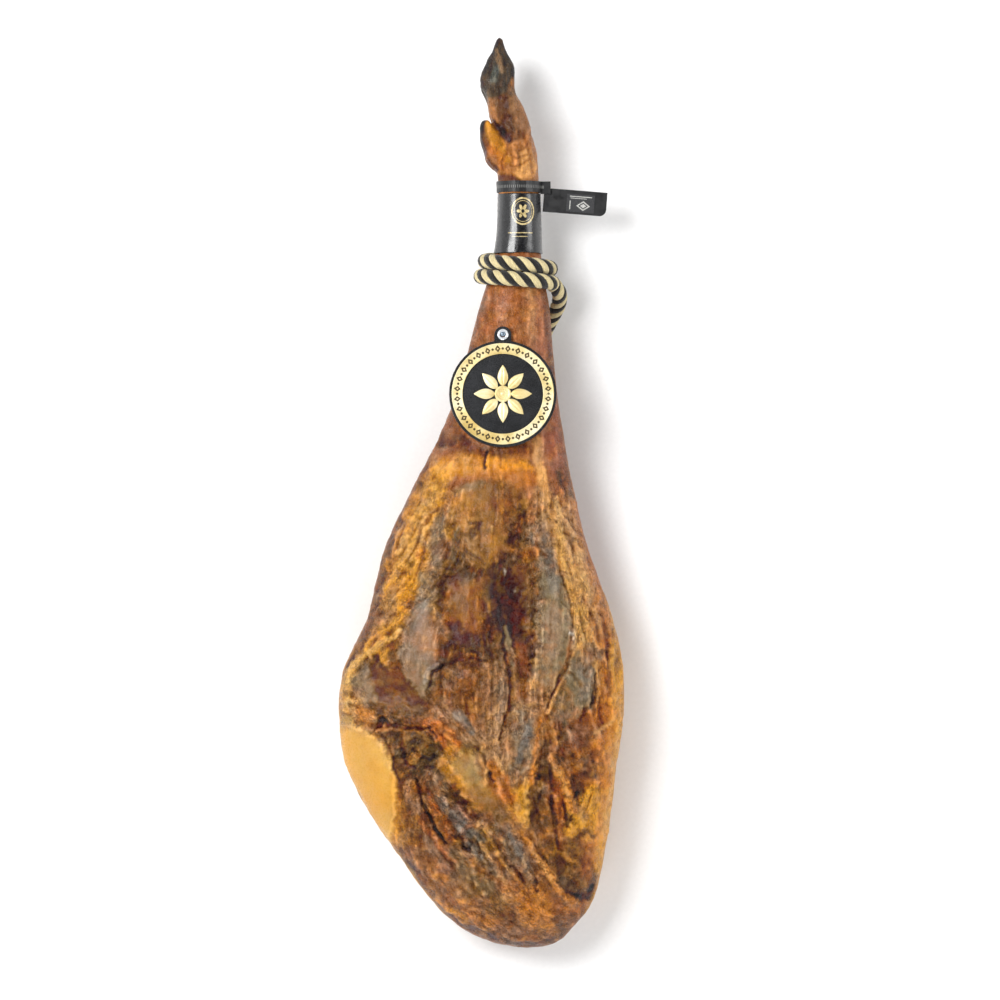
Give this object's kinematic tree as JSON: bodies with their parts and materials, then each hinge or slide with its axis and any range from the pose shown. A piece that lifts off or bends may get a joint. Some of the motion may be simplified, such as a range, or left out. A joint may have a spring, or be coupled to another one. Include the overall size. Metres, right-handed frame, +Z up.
{
  "type": "cured ham",
  "caption": "Whole cured ham on the bone, lying flat with the trimmed inner side up, with a shank sleeve, seal flag, two-colour rope and round medallion.",
  "frame": {"origin": "centre of the underside of the ham's bounding box, on the surface that it lies on", "axes": "+Y from the butt to the claws, +Z up out of the trimmed inner side, +X towards the stifle side, with the hoof pointing away"},
  "size_m": [0.258, 0.82, 0.125],
  "materials": {
    "ham": "greasy cured fat and dried meat, satin to glossy",
    "sleeve": "glossy black film",
    "seal": "satin moulded black",
    "label": "satin grey sticker",
    "rope": "laid rope of two gold and two black strands",
    "twine": "waxed black twine",
    "medallion": "black, satin with a faint grain",
    "gold": "pale gold, brushed",
    "steel": "polished"
  },
  "bodies": {
    "root": {"ham": "ham", "shank_sleeve": "sleeve", "seal_tag": "seal", "flag_label": "label", "rope_turns": "rope", "rope_start": "rope", "rope_loop": "rope", "rope_lashing": "twine", "medallion_disc": "medallion", "medallion_ring": "gold", "medallion_rosette": "gold", "eyelet": "steel", "tack": "steel"}
  },
  "joints": []
}
